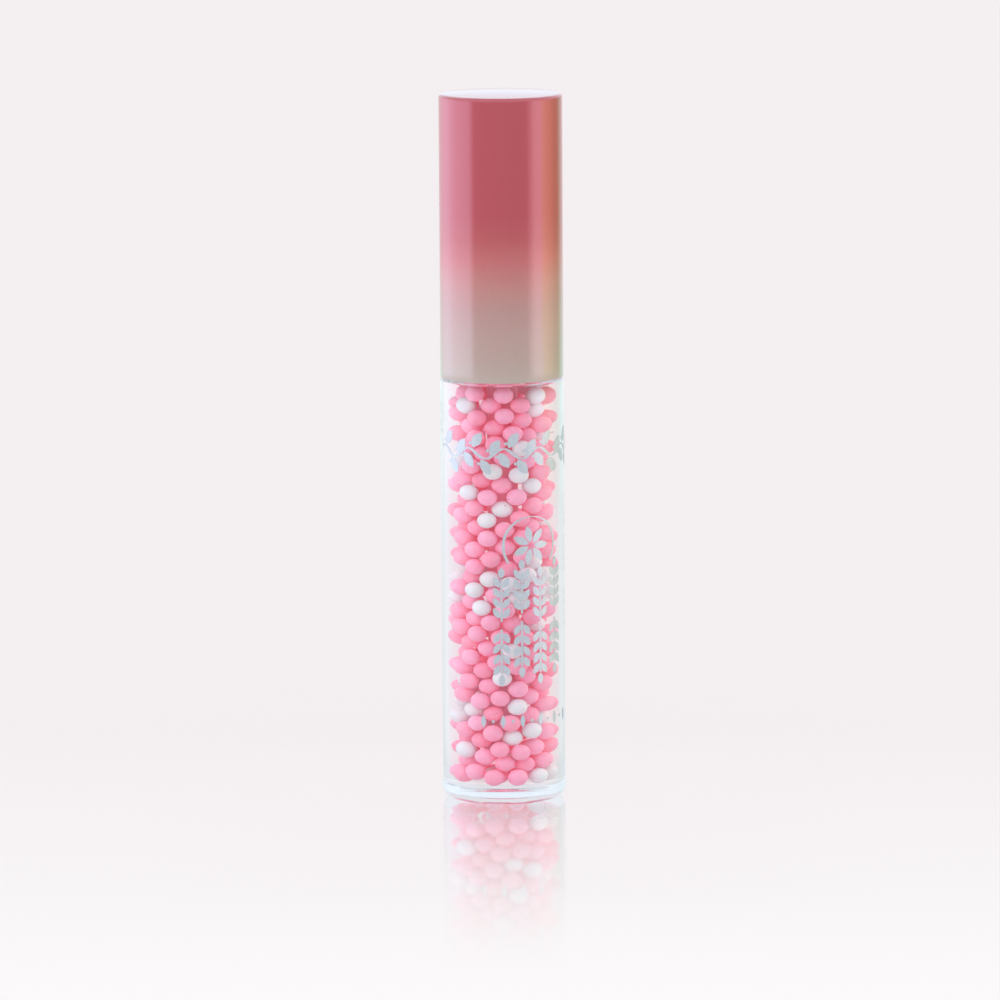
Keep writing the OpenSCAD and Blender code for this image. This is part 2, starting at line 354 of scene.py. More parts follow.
def lacquer_material():
    """Pearl lacquer: rose at the top fades to cream at the rim, with fine flakes under a clear coat."""
    mat, nodes, links, out = material("cap_pearl_lacquer")
    drift = fine_noise(nodes, links, scale=90.0, detail=2.0)
    height = math_node(nodes, links, "MULTIPLY_ADD", drift, FADE_DRIFT, object_axis(nodes, links, "Z"))
    place = span(nodes, links, height, CAP_LOW.z + FADE_SHIFT, CAP_HIGH.z + FADE_SHIFT,
                 interpolation="LINEAR")
    fade = ramp(nodes, links, CAP_FADE, place)
    flakes = add(nodes, "ShaderNodeTexVoronoi", scale=9000.0)
    links.new(object_coords(nodes), flakes.inputs["Vector"])
    glitter = add(nodes, "ShaderNodeMixRGB", blend_type="SOFT_LIGHT", fac=0.07)
    links.new(fade.outputs[0], glitter.inputs[1])
    links.new(flakes.outputs["Color"], glitter.inputs[2])
    shader = add(nodes, "ShaderNodeBsdfPrincipled", metallic=0.08, roughness=0.4, specular_ior_level=0.25,
                 coat_weight=1.0, coat_roughness=0.03, coat_ior=1.5)
    links.new(glitter.outputs[0], shader.inputs["Base Color"])
    links.new(bump(nodes, links, drift, 0.01 * MM, strength=0.3), shader.inputs["Normal"])
    links.new(shader.outputs[0], out.inputs["Surface"])
    return mat


def foil_material():
    """Matte silver hot foil with a faint grain."""
    mat, nodes, links, out = material("silver_foil")
    grain = fine_noise(nodes, links, scale=2600.0, detail=4.0)
    colour = ramp(nodes, links, [(0.3, (0.5, 0.56, 0.62)), (0.7, (0.6, 0.65, 0.7))], grain)
    shader = add(nodes, "ShaderNodeBsdfPrincipled", metallic=0.35, roughness=0.42)
    links.new(colour.outputs[0], shader.inputs["Base Color"])
    links.new(bump(nodes, links, grain, 0.006 * MM, strength=0.6), shader.inputs["Normal"])
    links.new(shader.outputs[0], out.inputs["Surface"])
    return mat


def moulded_material(name, colour, roughness, grain_scale, grain, coat=0.0, subsurface=0.0):
    """Moulded plastic or foam with a fine grain that also shifts its colour a little."""
    mat, nodes, links, out = material(name)
    grains = fine_noise(nodes, links, grain_scale, detail=4.0)
    dark = tuple(c * 0.93 for c in colour)
    tone = ramp(nodes, links, [(0.3, dark), (0.7, colour)], grains)
    shader = add(nodes, "ShaderNodeBsdfPrincipled", roughness=roughness, coat_weight=coat,
                 subsurface_weight=subsurface, subsurface_scale=0.6 * MM)
    links.new(tone.outputs[0], shader.inputs["Base Color"])
    links.new(bump(nodes, links, grains, grain), shader.inputs["Normal"])
    links.new(shader.outputs[0], out.inputs["Surface"])
    return mat


def flock_material():
    """Short nylon flock, wetted pink by the gloss."""
    mat, nodes, links, out = material("nylon_flock")
    fluff = fine_noise(nodes, links, scale=3200.0, detail=5.0)
    colour = ramp(nodes, links, [(0.25, (0.72, 0.36, 0.5)), (0.75, (0.95, 0.74, 0.83))], fluff)
    shader = add(nodes, "ShaderNodeBsdfPrincipled", roughness=0.85, sheen_weight=0.6, sheen_roughness=0.4)
    links.new(colour.outputs[0], shader.inputs["Base Color"])
    links.new(bump(nodes, links, fluff, 0.05 * MM), shader.inputs["Normal"])
    links.new(shader.outputs[0], out.inputs["Surface"])
    return mat


# ---------- bottle ----------

def bottle_profile():
    """The bottle's section from the dimple, round the outside, over the rim and down the bore."""
    ball_r = (DIMPLE_R ** 2 + DIMPLE_DEPTH ** 2) / (2 * DIMPLE_DEPTH)
    ball_a = math.degrees(math.asin(DIMPLE_R / ball_r))
    dimple = arc(0, DIMPLE_DEPTH - ball_r, ball_r, 90, 90 - ball_a, 6)
    foot = arc(TUBE_R - FOOT_ROUND, FOOT_ROUND, FOOT_ROUND, -90, 0, 12)
    shoulder = arc(TUBE_R - SHOULDER_ROUND, SHOULDER_Z - SHOULDER_ROUND, SHOULDER_ROUND, 0, 90, 5)
    root = arc(NECK_R + NECK_EDGE, SHOULDER_Z + NECK_EDGE, NECK_EDGE, 270, 180, 4)
    neck = line((NECK_R, SHOULDER_Z + NECK_END), (NECK_R, RIM_Z - NECK_END), 90)
    lip = arc(NECK_R - NECK_EDGE, RIM_Z - NECK_EDGE, NECK_EDGE, 0, 90, 4)
    mouth = arc(BORE_R + MOUTH_ROUND, RIM_Z - MOUTH_ROUND, MOUTH_ROUND, 90, 180, 3)
    bore = [(BORE_R, FILL_Z)]
    floor = arc(BORE_R - FLOOR_ROUND, FLOOR_Z + FLOOR_ROUND, FLOOR_ROUND, 0, -90, 8)
    barrel = line(foot[-1], shoulder[0], 40)[1:-1]
    return dimple + foot + barrel + shoulder + root + neck + lip + mouth + bore + floor + [(0, FLOOR_Z)]


def neck_relief(r, z, angle):
    """Adds the thread where the section is the neck's outer wall."""
    on_neck = abs(r - NECK_R) < 1e-6 and SHOULDER_Z < z < RIM_Z
    return r + thread_height(z, angle) if on_neck else r


def make_bottle():
    bottle = lathe("bottle_clear", bottle_profile(), neck_relief)
    clear = glass_like("clear_petg", (0.965, 0.98, 0.99), ior=1.53, roughness=0.0, ripple_scale=60.0,
                       ripple=0.004 * MM)
    bottle.data.materials.append(clear)
    bottle.data.materials.append(wetted("bore_wetted_by_gel"))
    for face in bottle.data.polygons:
        centre = face.center
        inside = math.hypot(centre.x, centre.y) < BORE_R + 1e-5
        if inside and FLOOR_Z - 1e-5 < centre.z < FILL_Z + 1e-5:
            face.material_index = 1
    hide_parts("bottle")
    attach(bottle, "bottle")
    return bottle


# ---------- gel, bubbles and beads ----------

def make_gloss():
    """The gel: its sides meet the bore, and its top is a shallow meniscus."""
    skin = BORE_R - WET_GAP
    low = FLOOR_Z + WET_GAP
    side = arc(skin - FLOOR_ROUND, low + FLOOR_ROUND, FLOOR_ROUND, -90, 0, 8)
    walls = line((skin, low + FLOOR_ROUND), (skin, FILL_Z), 24)[1:-1]
    top = [(skin * share, FILL_Z - MENISCUS + MENISCUS * share ** 6)
           for share in [1 - i / 12 for i in range(13)]]
    gloss = lathe("gloss_gel", [(0, low)] + side + walls + top)
    surface = glass_like("gel_surface", (1.0, 0.97, 0.98), ior=1.46, roughness=0.02, ripple_scale=500.0,
                         ripple=0.02 * MM)
    gloss.data.materials.append(tint_inside(wetted("gel_skin")))
    gloss.data.materials.append(tint_inside(surface))
    for face in gloss.data.polygons:
        on_top = face.center.z > FILL_Z - MENISCUS - 1e-5
        if on_top and math.hypot(face.center.x, face.center.y) < skin * 0.985:
            face.material_index = 1
    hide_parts("gloss")
    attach(gloss, "bottle")
    return gloss


def bead_spheres(node):
    """Centre and radius of each sphere in a CAD node of beads."""
    spheres = bmesh.new()
    spheres.from_mesh(NODES[node].data)
    bmesh.ops.remove_doubles(spheres, verts=spheres.verts, dist=1e-7)
    left = set(spheres.verts)
    found = []
    while left:
        stack, island = [left.pop()], []
        while stack:
            vert = stack.pop()
            island.append(vert.co.copy())
            for edge in vert.link_edges:
                other = edge.other_vert(vert)
                if other in left:
                    left.remove(other)
                    stack.append(other)
        low = Vector([min(p[i] for p in island) for i in range(3)])
        high = Vector([max(p[i] for p in island) for i in range(3)])
        found.append(((low + high) / 2, max(high - low) / 2))
    spheres.free()
    return sorted(found, key=lambda s: (round(s[0].z, 7), round(s[0].x, 7)))


def ball(rings, sides):
    """Unit directions and faces of a round ball."""
    points = [Vector((0, 0, -1))]
    for i in range(1, rings):
        lat = -math.pi / 2 + math.pi * i / rings
        for k in range(sides):
            a = 2 * math.pi * k / sides
            points.append(Vector((math.cos(lat) * math.cos(a), math.cos(lat) * math.sin(a), math.sin(lat))))
    points.append(Vector((0, 0, 1)))
    top = len(points) - 1
    last = 1 + (rings - 2) * sides
    faces = []
    for k in range(sides):
        n = (k + 1) % sides
        faces.append((0, 1 + n, 1 + k))
        for a in range(1, last, sides):
            faces.append((a + k, a + n, a + sides + n, a + sides + k))
        faces.append((last + k, last + n, top))
    return points, faces


def make_beads(node, name, mat, seed):
    """Slightly uneven beads in the places of the CAD spheres, each with its own shade."""
    rng = random.Random(seed)
    directions, ball_faces = ball(16, 26)
    verts, faces, shades = [], [], []
    for centre, radius in bead_spheres(node):
        squat = Vector([rng.uniform(0.975, 1.0) for _ in range(3)])
        angle = rng.uniform(0, 6.28)
        turn = Matrix.Rotation(angle, 3, Vector((rng.random(), rng.random(), 0.3)).normalized())
        shift = Vector([rng.uniform(-50, 50) for _ in range(3)])
        shade = rng.uniform(0.15, 0.85)
        start = len(verts)
        for d in directions:
            lump = 1.0 - 0.01 * (1 + noise.noise(d * 1.6 + shift))
            p = turn @ (Vector((d.x * squat.x, d.y * squat.y, d.z * squat.z)) * radius * lump)
            verts.append(centre + p)
            shades.append(shade)
        faces.extend([tuple(start + i for i in f) for f in ball_faces])
    beads = new_object(name, verts, faces, 80)
    attribute = beads.data.attributes.new("shade", "FLOAT", "POINT")
    attribute.data.foreach_set("value", shades)
    beads.data.materials.append(mat)
    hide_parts(node)
    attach(beads, "bottle")
    return beads


def make_bubbles(beads, count):
    """Tiny air bubbles caught in the gel between the beads and the bore."""
    rng = random.Random(5)
    directions, ball_faces = ball(8, 12)
    verts, faces = [], []
    made = 0
    for _ in range(count * 40):
        if made == count:
            break
        r = rng.uniform(0.07, 0.16) * MM
        a = rng.uniform(0, 2 * math.pi)
        reach = BORE_R - r - rng.uniform(0.04, 0.6) * MM
        z = rng.uniform(FLOOR_Z + 1 * MM, FILL_Z - 1 * MM)
        p = Vector((reach * math.cos(a), reach * math.sin(a), z))
        if any((p - c).length < radius + r for c, radius in beads):
            continue
        start = len(verts)
        verts.extend([p + d * r for d in directions])
        faces.extend([tuple(start + i for i in f) for f in ball_faces])
        made += 1
    bubbles = new_object("gel_bubbles", verts, faces, 80)
    air = glass_like("air_in_gel", (1.0, 1.0, 1.0), ior=0.685, roughness=0.0, ripple_scale=900.0,
                     ripple=0.001 * MM)
    bubbles.data.materials.append(air)
    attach(bubbles, "bottle")
    return bubbles


# ---------- foil ornament on the barrel ----------

VIEWER_SIDE = -90
PRINT_ASIDE = 27
PRINT_TURN = math.radians(VIEWER_SIDE + PRINT_ASIDE)
FOIL_GAP = 0.01 * MM
FOIL_THICK = 0.03 * MM
FOIL_STEP = 0.3 * MM


def wrap(name, outlines):
    """Cuts flat outlines of (along, up), each with optional holes, and wraps them round the barrel."""
    flat = bmesh.new()
    for rings in outlines:
        edges = []
        for ring in rings:
            verts = [flat.verts.new((u, 0, z)) for u, z in ring]
            edges += [flat.edges.new((verts[i], verts[(i + 1) % len(verts)])) for i in range(len(verts))]
        bmesh.ops.triangle_fill(flat, use_beauty=True, use_dissolve=False, edges=edges)
    reach = max(abs(v.co.x) for v in flat.verts)
    steps = int(reach / FOIL_STEP) + 1
    for i in range(-steps, steps + 1):
        geometry = flat.verts[:] + flat.edges[:] + flat.faces[:]
        bmesh.ops.bisect_plane(flat, geom=geometry, dist=1e-8, plane_co=(i * FOIL_STEP, 0, 0),
                               plane_no=(1, 0, 0))
    bmesh.ops.recalc_face_normals(flat, faces=flat.faces)
    if flat.faces and flat.faces[0].normal.y > 0:
        bmesh.ops.reverse_faces(flat, faces=flat.faces)
    front = flat.faces[:]
    back = bmesh.ops.duplicate(flat, geom=front)["geom"]
    back_faces = [g for g in back if isinstance(g, bmesh.types.BMFace)]
    back_verts = {v for f in back_faces for v in f.verts}
    bmesh.ops.reverse_faces(flat, faces=back_faces)
    for vert in flat.verts:
        radius = TUBE_R + FOIL_GAP + (0 if vert in back_verts else FOIL_THICK)
        a = PRINT_TURN + vert.co.x / TUBE_R
        vert.co = Vector((radius * math.cos(a), radius * math.sin(a), vert.co.z))
    mesh = bpy.data.meshes.new(name)
    flat.to_mesh(mesh)
    flat.free()
    mesh.polygons.foreach_set("use_smooth", [True] * len(mesh.polygons))
    obj = bpy.data.objects.new(name, mesh)
    bpy.context.scene.collection.objects.link(obj)
    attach(obj, "bottle")
    return obj


def disc(u, z, r, steps=20):
    return [(u + r * math.cos(2 * math.pi * k / steps), z + r * math.sin(2 * math.pi * k / steps))
            for k in range(steps)]


def capsule(u, z, width, height):
    """An upright bar with round ends."""
    r, h = width / 2, height / 2 - width / 2
    return arc(u, z + h, r, 0, 180, 9) + arc(u, z - h, r, 180, 360, 9)


def leaf(u, z, width, height, turn=0.0, steps=12):
    """A pointed leaf, turned about its centre."""
    half = [(width / 2 * math.sin(math.pi * i / steps) ** 0.8, height * (i / steps - 0.5))
            for i in range(steps + 1)]
    outline = half[:-1] + [(-x, y) for x, y in reversed(half[1:])]
    c, s = math.cos(turn), math.sin(turn)
    return [(u + x * c - y * s, z + x * s + y * c) for x, y in outline]


def ribbon(points, width):
    """A band along a curve, thinner where it runs across and thicker where it runs up."""
    left, right = [], []
    for i, p in enumerate(points):
        a, b = points[max(0, i - 1)], points[min(len(points) - 1, i + 1)]
        run = Vector((b[0] - a[0], b[1] - a[1])).normalized()
        half = width * (0.25 + 0.75 * abs(run.y)) / 2
        left.append((p[0] - run.y * half, p[1] + run.x * half))
        right.append((p[0] + run.y * half, p[1] - run.x * half))
    return left + right[::-1]


def sprig(u, z, height, way):
    """A stalk with pairs of leaves and one at its tip, pointing up for a way of 1 and down for -1."""
    stalk, length, width, lean = 0.34 * MM, 1.8 * MM, 0.95 * MM, math.radians(31)
    first_pair, pair_step, tip = -0.42, 0.19, 0.42
    shapes = [capsule(u, z - way * 0.09 * height, stalk, height * 0.8)]
    for pair in range(4):
        root = z + way * height * (first_pair + pair_step * pair)
        for side in (-1, 1):
            foot = u + side * (stalk / 2 + 0.1 * MM)
            along = (side * length / 2 * math.sin(lean), way * length / 2 * math.cos(lean))
            shapes.append(leaf(foot + along[0], root + along[1], width, length, -side * way * lean))
    shapes.append(leaf(u, z + way * height * tip, width * 1.05, height * 0.2))
    return [[shape] for shape in shapes]


def foil_vine():
    """A wavy stem with a leaf and a berry on every quarter wave."""
    vine_z, wave, sway, reach = 53.7 * MM, 5.6 * MM, 0.75 * MM, 16.2 * MM
    leaf_off, berry_off = 0.75 * MM, 0.35 * MM

    def height(u):
        return vine_z + sway * math.sin(2 * math.pi * u / wave)

    places = [-reach + 2 * reach * i / 180 for i in range(181)]
    stem = wrap("foil_vine_stem", [[ribbon([(u, height(u)) for u in places], 0.65 * MM)]])
    leaves, berries = [], []
    for k in range(-11, 12):
        u = (k + 0.5) * wave / 4
        side = 1 if k % 2 else -1
        leaves.append([leaf(u + leaf_off, height(u) + side * 1.5 * MM, 1.5 * MM, 2.7 * MM, -side * 0.6)])
        berries.append([disc(u - berry_off, height(u) + side * 1.0 * MM, 0.24 * MM, 12)])
    return [stem, wrap("foil_vine_leaves", leaves), wrap("foil_vine_berries", berries)]


def foil_flower():
    """Seven petals in an open ring."""
    ring_z, petal_r = 39.7 * MM, 1.75 * MM
    ring = wrap("foil_ring", [[ribbon(arc(0, ring_z, 4.35 * MM, -36, 216, 48), 0.42 * MM)]])
    petals = [[leaf(petal_r * math.cos(a), ring_z + petal_r * math.sin(a), 1.15 * MM, 2.6 * MM,
                    a - math.pi / 2)]
              for a in [2 * math.pi * k / 7 for k in range(7)]]
    return [ring, wrap("foil_flower", petals)]


def foil_sprigs(name, row_z, height, way):
    """A row of four sprigs, of which every second one stands higher."""
    pitch, stagger = 3.1 * MM, 1.2 * MM
    return wrap(name, [shape for k in range(4)
                       for shape in sprig((k - 1.5) * pitch, row_z + (k % 2 - 0.5) * stagger, height, way)])


def foil_dots():
    """A line of dots and small upright leaves in turn."""
    line_z, pitch = 13.0 * MM, 1.5 * MM
    return wrap("foil_dots", [[disc((k - 5) * pitch, line_z, 0.24 * MM, 12)] if k % 2
                              else [leaf((k - 5) * pitch, line_z, 0.75 * MM, 2.0 * MM)]
                              for k in range(11)])


def make_foil(foil):
    """Generic silver ornament: a leafy vine, a ringed flower, two rows of sprigs and fine dots."""
    pieces = foil_vine() + foil_flower()
    pieces.append(foil_sprigs("foil_sprigs_upper", 32.8 * MM, 8.2 * MM, 1))
    pieces.append(foil_sprigs("foil_sprigs_lower", 23.5 * MM, 8.6 * MM, -1))
    pieces.append(foil_dots())
    for piece in pieces:
        piece.data.materials.append(foil)
    return pieces


# ---------- cap ----------

def cap_profile():
    """The cap shell's section from its rim up the outside, over the crown and down the bore."""
    bore = TUBE_R - SHELL_WALL
    edge_r = TUBE_R - CAP_ROUND
    crown_r = (edge_r ** 2 + CAP_CROWN ** 2) / (2 * CAP_CROWN)
    crown_a = math.degrees(math.asin(edge_r / crown_r))
    side_top = CAP_HIGH.z - CAP_CROWN - CAP_ROUND
    rim = arc(TUBE_R - RIM_ROUND, CAP_LOW.z + RIM_ROUND, RIM_ROUND, -90, 0, 4)
    edge = arc(edge_r, side_top, CAP_ROUND, 0, 90 - crown_a, 10)
    crown = arc(0, CAP_HIGH.z - crown_r, crown_r, 90 - crown_a, 90, 14)
    wall = line(rim[-1], edge[0], 36)[1:-1]
    inner_top = CAP_HIGH.z - SHELL_TOP
    ceiling = [(bore - CEILING_EDGE, inner_top), (bore, inner_top - CEILING_EDGE)]
    mouth = [(bore, CAP_LOW.z + RIM_CHAMFER), (bore + RIM_CHAMFER, CAP_LOW.z)]
    return rim + wall + edge + crown[1:-1] + [(0, CAP_HIGH.z)] + ceiling + mouth


def make_cap_shell():
    profile = cap_profile()
    top = profile.index((0, CAP_HIGH.z))
    outer = lathe("cap_outer", profile[:top + 1])
    inner = lathe("cap_inner", [profile[0]] + profile[:top:-1] + [(0, CAP_HIGH.z - SHELL_TOP)])
    inner.data.flip_normals()
    outer.data.materials.append(lacquer_material())
    outer.data.materials.append(moulded_material("cap_inner_abs", (0.62, 0.6, 0.6), roughness=0.45,
                                                 grain_scale=900.0, grain=0.01 * MM))
    for face in inner.data.polygons:
        face.material_index = 1
    shell = join("cap_shell_pearl", [outer, inner])
    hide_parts("cap_shell")
    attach(shell, "cap")
    return shell


FIBRE_ROOT = 0.12 * MM
FIBRE_R = 0.014 * MM


def make_flock_fibres(mat):
    """Short fibres that stand out of the applicator's flocked skin."""
    rng = random.Random(11)
    mesh = NODES["applicator_flock"].data
    mesh.calc_loop_triangles()
    core_low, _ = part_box("applicator_core")
    triangles = []
    for t in mesh.loop_triangles:
        a, b, c = [mesh.vertices[i].co for i in t.vertices]
        centre = (a + b + c) / 3
        outward = t.normal.x * centre.x + t.normal.y * centre.y > -1e-6 or centre.z < core_low.z
        if outward and t.area > 0:
            triangles.append((t.area, a.copy(), b.copy(), c.copy(), t.normal.copy()))
    areas = [t[0] for t in triangles]
    verts, faces = [], []
    for _ in range(12000):
        _, a, b, c, normal = rng.choices(triangles, areas)[0]
        s, t = math.sqrt(rng.random()), rng.random()
        root = a * (1 - s) + b * (s * (1 - t)) + c * (s * t)
        lean = Vector([rng.gauss(0, 0.35) for _ in range(3)])
        way = (normal + lean).normalized()
        side = way.orthogonal().normalized() * FIBRE_R
        side.rotate(Matrix.Rotation(rng.uniform(0, 6.28), 3, way))
        base = root - normal * FIBRE_ROOT
        tip = base + way * rng.uniform(0.2, 0.3) * MM
        across = way.cross(side)
        start = len(verts)
        verts.extend([base + side, base - side * 0.5 + across * 0.87,
                      base - side * 0.5 - across * 0.87, tip])
        faces.extend([(start, start + 1, start + 3), (start + 1, start + 2, start + 3),
                      (start + 2, start, start + 3)])
    fibres = new_object("flock_fibres", verts, faces, 80)
    fibres.data.materials.append(mat)
    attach(fibres, "cap")
    return fibres


def dress_cad(node, mat):
    """Gives a CAD node that keeps its own shape its material."""
    mesh = NODES[node].data
    mesh.materials.clear()
    mesh.materials.append(mat)


# ---------- stage, light and camera ----------

# The floor's tones, nearer and farther, and as seen through plastic: a painted shadow under the tube and a
# plain tone behind it
FLOOR_FAR = (0.905, 0.863, 0.88)
FLOOR_NEAR = (0.97, 0.95, 0.955)
FLOOR_PAINTED_SHADOW = (0.66, 0.67, 0.7)
FLOOR_THROUGH = (0.89, 0.88, 0.905)
FLOOR_GLOW = 0.6
FLOOR_DROP = 0.03 * MM
FLOOR_HALF = 12.0
MIRROR_SHARE = 0.65

# Stretches along Y, in metres, over which the floor's tones, its painted shadow under the tube and its
# mirror image change
TONE_SPAN = (-0.13, 0.05)
PAINTED_SHADOW_SPAN = (0.004, 0.03)
MIRROR_FRONT = (-0.125, 0.02)
MIRROR_BACK = (0.012, 0.05)
# The same for the mirror image on both sides along X
MIRROR_SIDE = (0.02, 0.06)


def make_floor():
    """A wide pale floor, brighter towards the viewer, whose faint mirror image fades away in front."""
    verts = [(-FLOOR_HALF, -FLOOR_HALF, -FLOOR_DROP), (FLOOR_HALF, -FLOOR_HALF, -FLOOR_DROP),
             (FLOOR_HALF, FLOOR_HALF, -FLOOR_DROP), (-FLOOR_HALF, FLOOR_HALF, -FLOOR_DROP)]
    floor = new_object("studio_floor", verts, [(0, 1, 2, 3)])
    floor.data.materials.append(floor_material())
    floor.visible_glossy = False
    return floor


def floor_material():
    """A matte, slightly lit floor with a mirror image. Seen through plastic it has plain tones, with a
    painted shadow under the tube.
    """
    mat, nodes, links, out = material("pale_floor")
    x, y = object_axis(nodes, links, "X"), object_axis(nodes, links, "Y")
    tone = span(nodes, links, y, *TONE_SPAN, 1.0, 0.0, "LINEAR")
    pale = ramp(nodes, links, [(0.0, FLOOR_FAR), (1.0, FLOOR_NEAR)], tone)
    matte = nodes.new("ShaderNodeBsdfDiffuse")
    glow = nodes.new("ShaderNodeEmission")
    for shader in (matte, glow):
        links.new(pale.outputs[0], shader.inputs["Color"])
    even = mix_shaders(nodes, links, FLOOR_GLOW, matte, glow)
    front = span(nodes, links, y, *MIRROR_FRONT, 0.0, MIRROR_SHARE)
    behind = span(nodes, links, y, *MIRROR_BACK, 1.0, 0.0)
    beside = span(nodes, links, math_node(nodes, links, "ABSOLUTE", x), *MIRROR_SIDE, 1.0, 0.0)
    share = math_node(nodes, links, "MULTIPLY", math_node(nodes, links, "MULTIPLY", front, behind), beside)
    mirror = add(nodes, "ShaderNodeBsdfGlossy", color=(0.965, 0.955, 0.96, 1), roughness=0.03)
    mix = mix_shaders(nodes, links, share, even, mirror)
    # Seen through plastic, a painted shadow under the tube lightens to a plain tone behind it
    painted_shadow_tone = ramp(nodes, links, [(0.0, FLOOR_PAINTED_SHADOW), (1.0, FLOOR_THROUGH)],
                  span(nodes, links, y, *PAINTED_SHADOW_SPAN))
    plain = nodes.new("ShaderNodeEmission")
    links.new(painted_shadow_tone.outputs[0], plain.inputs["Color"])
    path = nodes.new("ShaderNodeLightPath")
    seen = mix_shaders(nodes, links, path.outputs["Is Transmission Ray"], mix, plain)
    links.new(seen.outputs[0], out.inputs["Surface"])
    return mat


DARK = (0.3, 0.28, 0.28)
BRIGHT = (2.45, 2.25, 2.95)
COOL = (1.4, 1.2, 1.42)
DIM = (1.0, 0.98, 1.0)
BACKDROP = (0.95, 0.92, 0.93)
PALE_GREEN = (0.6, 1.0, 0.9)
OLIVE = (0.3, 0.45, 0.05)
GOLD = (1.3, 1.0, 0.3)
PALE_GOLD = (2.6, 1.9, 1.0)
SOFT_BAND = (3.1, 2.25, 2.55)
PANEL_MAX = 5.0
# Place 0 and 1 are the viewer's side, 0.25 the left, 0.5 behind the tube and 0.75 the right
PANELS = [(0.0, DARK), (0.14, DARK), (0.17, BRIGHT), (0.32, BRIGHT), (0.385, COOL), (0.415, DIM),
          (0.445, DIM), (0.46, BACKDROP), (0.57, BACKDROP), (0.6, PALE_GREEN), (0.64, OLIVE),
          (0.67, OLIVE), (0.71, GOLD), (0.76, PALE_GOLD), (0.785, SOFT_BAND), (0.82, SOFT_BAND),
          (0.865, DARK), (1.0, DARK)]
UNDER_PANEL = (0.72, 0.76, 0.8)
LOW_CAST = (0.88, 1.14, 1.04)
SKY_PANEL = (0.77, 0.91, 1.0)
SKY_STRENGTH = 1.45
WITHIN_PANEL = (0.9, 0.89, 0.92)
WITHIN_SHARE = 0.7
# Heights, in metres, over which the panels come in from below, lose their cast and end in the sky
LEVEL_SPAN = (-0.035, -0.002)
CAST_SPAN = (-0.002, 0.03)
SKY_SPAN = (0.11, 0.15)


def panel_material():
    """Panels of light by direction, paler below and cool above, and dulled for rays inside plastic."""
    mat, nodes, links, out = material("panel_light")
    z = object_axis(nodes, links, "Z")
    turn = math_node(nodes, links, "ARCTAN2", object_axis(nodes, links, "X"), object_axis(nodes, links, "Y"))
    place = math_node(nodes, links, "MULTIPLY_ADD", turn, 1 / (2 * math.pi), 0.5)
    stops = [(at, tuple(c / PANEL_MAX for c in colour)) for at, colour in PANELS]
    lights = ramp(nodes, links, stops, place)
    cast = ramp(nodes, links, [(0.0, LOW_CAST), (1.0, (1.0, 1.0, 1.0))], span(nodes, links, z, *CAST_SPAN))
    tinted = nodes.new("ShaderNodeVectorMath")
    tinted.operation = "MULTIPLY"
    links.new(lights.outputs[0], tinted.inputs[0])
    links.new(cast.outputs[0], tinted.inputs[1])
    glow = add(nodes, "ShaderNodeEmission", strength=PANEL_MAX)
    links.new(tinted.outputs[0], glow.inputs["Color"])
    under = add(nodes, "ShaderNodeEmission", color=(*UNDER_PANEL, 1))
    low = mix_shaders(nodes, links, span(nodes, links, z, *LEVEL_SPAN, low=0.35), under, glow)
    above = add(nodes, "ShaderNodeEmission", color=(*SKY_PANEL, 1), strength=SKY_STRENGTH)
    mix = mix_shaders(nodes, links, span(nodes, links, z, *SKY_SPAN), low, above)
    path = nodes.new("ShaderNodeLightPath")
    within = math_node(nodes, links, "GREATER_THAN", path.outputs["Transmission Depth"], 0.5)
    dulled = math_node(nodes, links, "MULTIPLY", within, WITHIN_SHARE)
    dull = add(nodes, "ShaderNodeEmission", color=(*WITHIN_PANEL, 1))
    seen = mix_shaders(nodes, links, dulled, mix, dull)
    links.new(seen.outputs[0], out.inputs["Surface"])
    return mat


def make_surround():
    """A ring of soft panels round the tube that only its gloss sees: bright left, dark front, warm right."""
    radius, bottom, top, sides = 0.45, -0.2, 0.8, 96
    verts = [(radius * math.cos(2 * math.pi * k / sides), radius * math.sin(2 * math.pi * k / sides), z)
             for z in (bottom, top) for k in range(sides)]
    faces = [(k, k + sides, (k + 1) % sides + sides, (k + 1) % sides) for k in range(sides)]
    ring = new_object("studio_panels", verts, faces)
    ring.data.materials.append(panel_material())
    ring.visible_camera = False
    ring.visible_diffuse = False
    ring.visible_transmission = False
    ring.visible_shadow = False
    return ring


def area_light(name, place, target, size, power, colour):
    data = bpy.data.lights.new(name, "AREA")
    data.shape = "RECTANGLE"
    data.size, data.size_y = size
    data.energy = power
    data.color = colour
    light = bpy.data.objects.new(name, data)
    light.location = place
    light.rotation_euler = (Vector(target) - Vector(place)).to_track_quat("-Z", "Y").to_euler()
    light.visible_glossy = False
    light.visible_transmission = False
    bpy.context.scene.collection.objects.link(light)
    return light


def spare_floor(light, floor):
    """Keeps a lamp off the floor, so that the floor has the even tone of the soft light alone."""
    unlit = bpy.data.collections.new(light.name + "_unlit")
    unlit.objects.link(floor)
    light.light_linking.receiver_collection = unlit
    unlit.collection_objects[0].light_linking.link_state = "EXCLUDE"


THROUGH_GLASS = (0.78, 0.785, 0.82, 1)


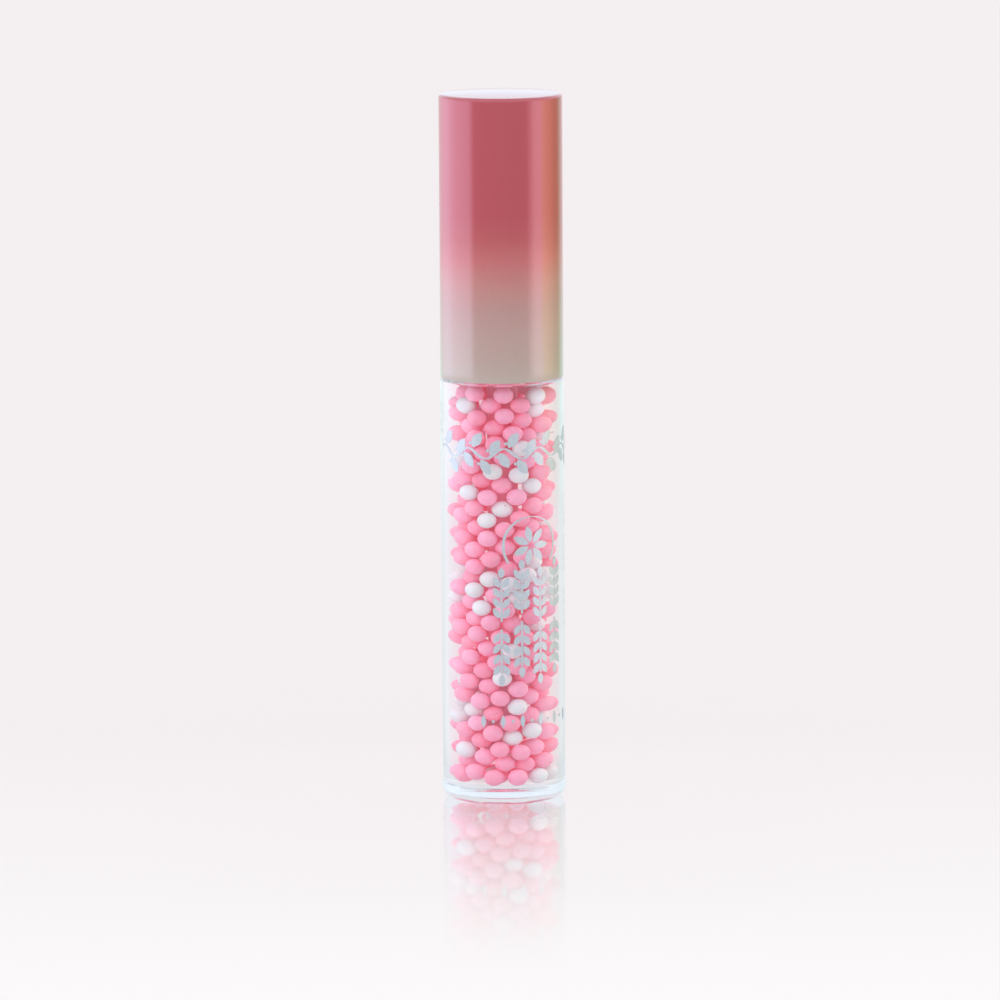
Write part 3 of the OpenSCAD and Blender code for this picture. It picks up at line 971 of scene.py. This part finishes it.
def make_light(floor):
    """Even soft light, a weak cool key lamp and a warm rim lamp. Through plastic the backdrop is deeper."""
    world = bpy.data.worlds.new("studio")
    world.use_nodes = True
    nodes, links = world.node_tree.nodes, world.node_tree.links
    even = nodes["Background"]
    even.inputs["Color"].default_value = (1.0, 1.0, 1.0, 1)
    seen = add(nodes, "ShaderNodeBackground", color=THROUGH_GLASS)
    path = nodes.new("ShaderNodeLightPath")
    clear = math_node(nodes, links, "MAXIMUM", path.outputs["Is Transmission Ray"],
                      path.outputs["Is Glossy Ray"])
    mix = mix_shaders(nodes, links, clear, even, seen)
    links.new(mix.outputs[0], nodes["World Output"].inputs["Surface"])
    bpy.context.scene.world = world
    middle = (0, 0, (BOTTLE_LOW.z + CAP_HIGH.z) / 2)
    key = area_light("key_left", place=(-0.55, -0.35, 0.45), target=middle, size=(0.5, 0.6), power=1.0,
                     colour=(0.93, 0.97, 1.15))
    rim = area_light("rim_right", place=(0.45, 0.3, 0.3), target=middle, size=(0.25, 0.5), power=0.7,
                     colour=(1.0, 0.86, 0.62))
    spare_floor(key, floor)
    spare_floor(rim, floor)


CAMERA_BACK = 1.02
CAMERA_HIGH = 0.204
CAMERA_AIM = (-0.0004, 0, 0.0453)
CAMERA_ROLL = math.radians(-0.35)
LENS = 246


def make_camera():
    data = bpy.data.cameras.new("camera")
    data.lens = LENS
    data.clip_start, data.clip_end = 0.05, 60
    camera = bpy.data.objects.new("camera", data)
    camera.location = (CAMERA_AIM[0], -CAMERA_BACK, CAMERA_HIGH)
    look = (Vector(CAMERA_AIM) - camera.location).to_track_quat("-Z", "Y").to_matrix()
    camera.rotation_euler = (look @ Matrix.Rotation(CAMERA_ROLL, 3, "Z")).to_euler()
    bpy.context.scene.collection.objects.link(camera)
    bpy.context.scene.camera = camera


def render_settings():
    scene = bpy.context.scene
    scene.view_settings.view_transform = "Standard"
    scene.cycles.use_denoising = True
    scene.cycles.transparent_max_bounces = 32
    scene.cycles.max_bounces = 20
    scene.cycles.diffuse_bounces = 8
    scene.cycles.transmission_bounces = 16


# ---------- build ----------

make_bottle()
make_gloss()
make_beads("beads_pink", "beads_pink_soft", bead_material("bead_pink", PINK_PALE, PINK_DEEP, PINK_PAINTED_GLOW),
           seed=1)
make_beads("beads_white", "beads_white_soft",
           bead_material("bead_white", WHITE_PALE, WHITE_DEEP, WHITE_PAINTED_GLOW), seed=2)
make_bubbles(bead_spheres("beads_pink") + bead_spheres("beads_white"), count=36)
make_foil(foil_material())
make_cap_shell()
flock = flock_material()
make_flock_fibres(flock)
dress_cad("applicator_flock", flock)
dress_cad("applicator_core", moulded_material("core_tpe", (0.7, 0.5, 0.58), roughness=0.6,
                                              grain_scale=1500.0, grain=0.01 * MM))
dress_cad("stem", moulded_material("stem_abs", (0.97, 0.48, 0.62), roughness=0.3, grain_scale=700.0,
                                   grain=0.004 * MM, coat=0.3))
dress_cad("cap_liner", moulded_material("liner_pp", (0.84, 0.84, 0.84), roughness=0.4, grain_scale=500.0,
                                        grain=0.008 * MM, subsurface=0.2))
dress_cad("wiper", moulded_material("wiper_ldpe", (0.85, 0.86, 0.86), roughness=0.38, grain_scale=500.0,
                                    grain=0.006 * MM, subsurface=0.4))
dress_cad("washer", moulded_material("washer_foam", (0.8, 0.8, 0.77), roughness=0.9, grain_scale=4000.0,
                                     grain=0.04 * MM))

studio_floor = make_floor()
make_surround()
make_light(studio_floor)
make_camera()
render_settings()
